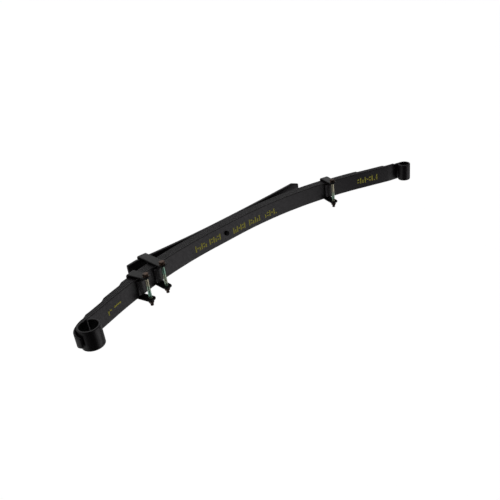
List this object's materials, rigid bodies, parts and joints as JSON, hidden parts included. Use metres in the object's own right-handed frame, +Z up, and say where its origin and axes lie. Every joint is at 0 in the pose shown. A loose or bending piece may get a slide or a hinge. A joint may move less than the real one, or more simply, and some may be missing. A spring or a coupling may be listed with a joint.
{
  "type": "leaf spring",
  "caption": "Bowed multi-leaf spring with rolled eyes at both ends, a wrapped second leaf, bolted clips, a centre bolt and a thick overload leaf.",
  "frame": {"origin": "centre of the end face of the centre bolt's dowel head, 6 mm above the main leaf's upper face", "axes": "+X along the spring from the front (larger) eye to the rear (smaller) eye, +Z up towards the hollow side of the bow, +Y across the leaf width"},
  "size_m": [1.363, 0.1061, 0.281],
  "materials": {
    "leaf_paint": "satin black paint",
    "clip_paint": "semi-gloss black paint",
    "zinc_plate": "bright zinc plate with a faint yellow tint",
    "plain_steel": "plain steel under thin black paint",
    "pad_rubber": "matt"
  },
  "bodies": {
    "seat": {"centre_bolt": "plain_steel", "centre_bolt_nut": "plain_steel", "front_inner_clip_bolt": "zinc_plate", "front_inner_clip_nut": "zinc_plate", "front_inner_clip_rivet": "plain_steel", "front_inner_clip_strap": "clip_paint", "leaf_1_seat": "leaf_paint", "leaf_2_seat": "leaf_paint", "leaf_3_seat": "leaf_paint", "leaf_4_seat": "leaf_paint", "leaf_5_seat": "leaf_paint", "overload_leaf": "leaf_paint"},
    "front_arm": {"front_inner_pad": "pad_rubber", "front_outer_clip_bolt": "zinc_plate", "front_outer_clip_nut": "zinc_plate", "front_outer_clip_rivet": "plain_steel", "front_outer_clip_strap": "clip_paint", "front_outer_pad": "pad_rubber", "leaf_1_front": "leaf_paint", "leaf_2_front": "leaf_paint", "leaf_3_front": "leaf_paint", "leaf_4_front": "leaf_paint", "leaf_5_front": "leaf_paint"},
    "rear_arm": {"leaf_1_rear": "leaf_paint", "leaf_2_rear": "leaf_paint", "leaf_3_rear": "leaf_paint", "leaf_4_rear": "leaf_paint", "leaf_5_rear": "leaf_paint", "rear_clip_bolt": "zinc_plate", "rear_clip_nut": "zinc_plate", "rear_clip_rivet": "plain_steel", "rear_clip_strap": "clip_paint", "rear_pad": "pad_rubber"}
  },
  "joints": [
    {"name": "front_arm_flex", "type": "hinge", "parent": "seat", "child": "front_arm", "pos_m": [-0.16117, 0, -0.01811], "axis": [0, -1, 0], "range_deg": [0, 12], "stiffness_Nm_per_rad": 2300},
    {"name": "rear_arm_flex", "type": "hinge", "parent": "seat", "child": "rear_arm", "pos_m": [0.16124, 0, -0.01799], "axis": [0, 1, 0], "range_deg": [0, 12], "stiffness_Nm_per_rad": 2100}
  ]
}
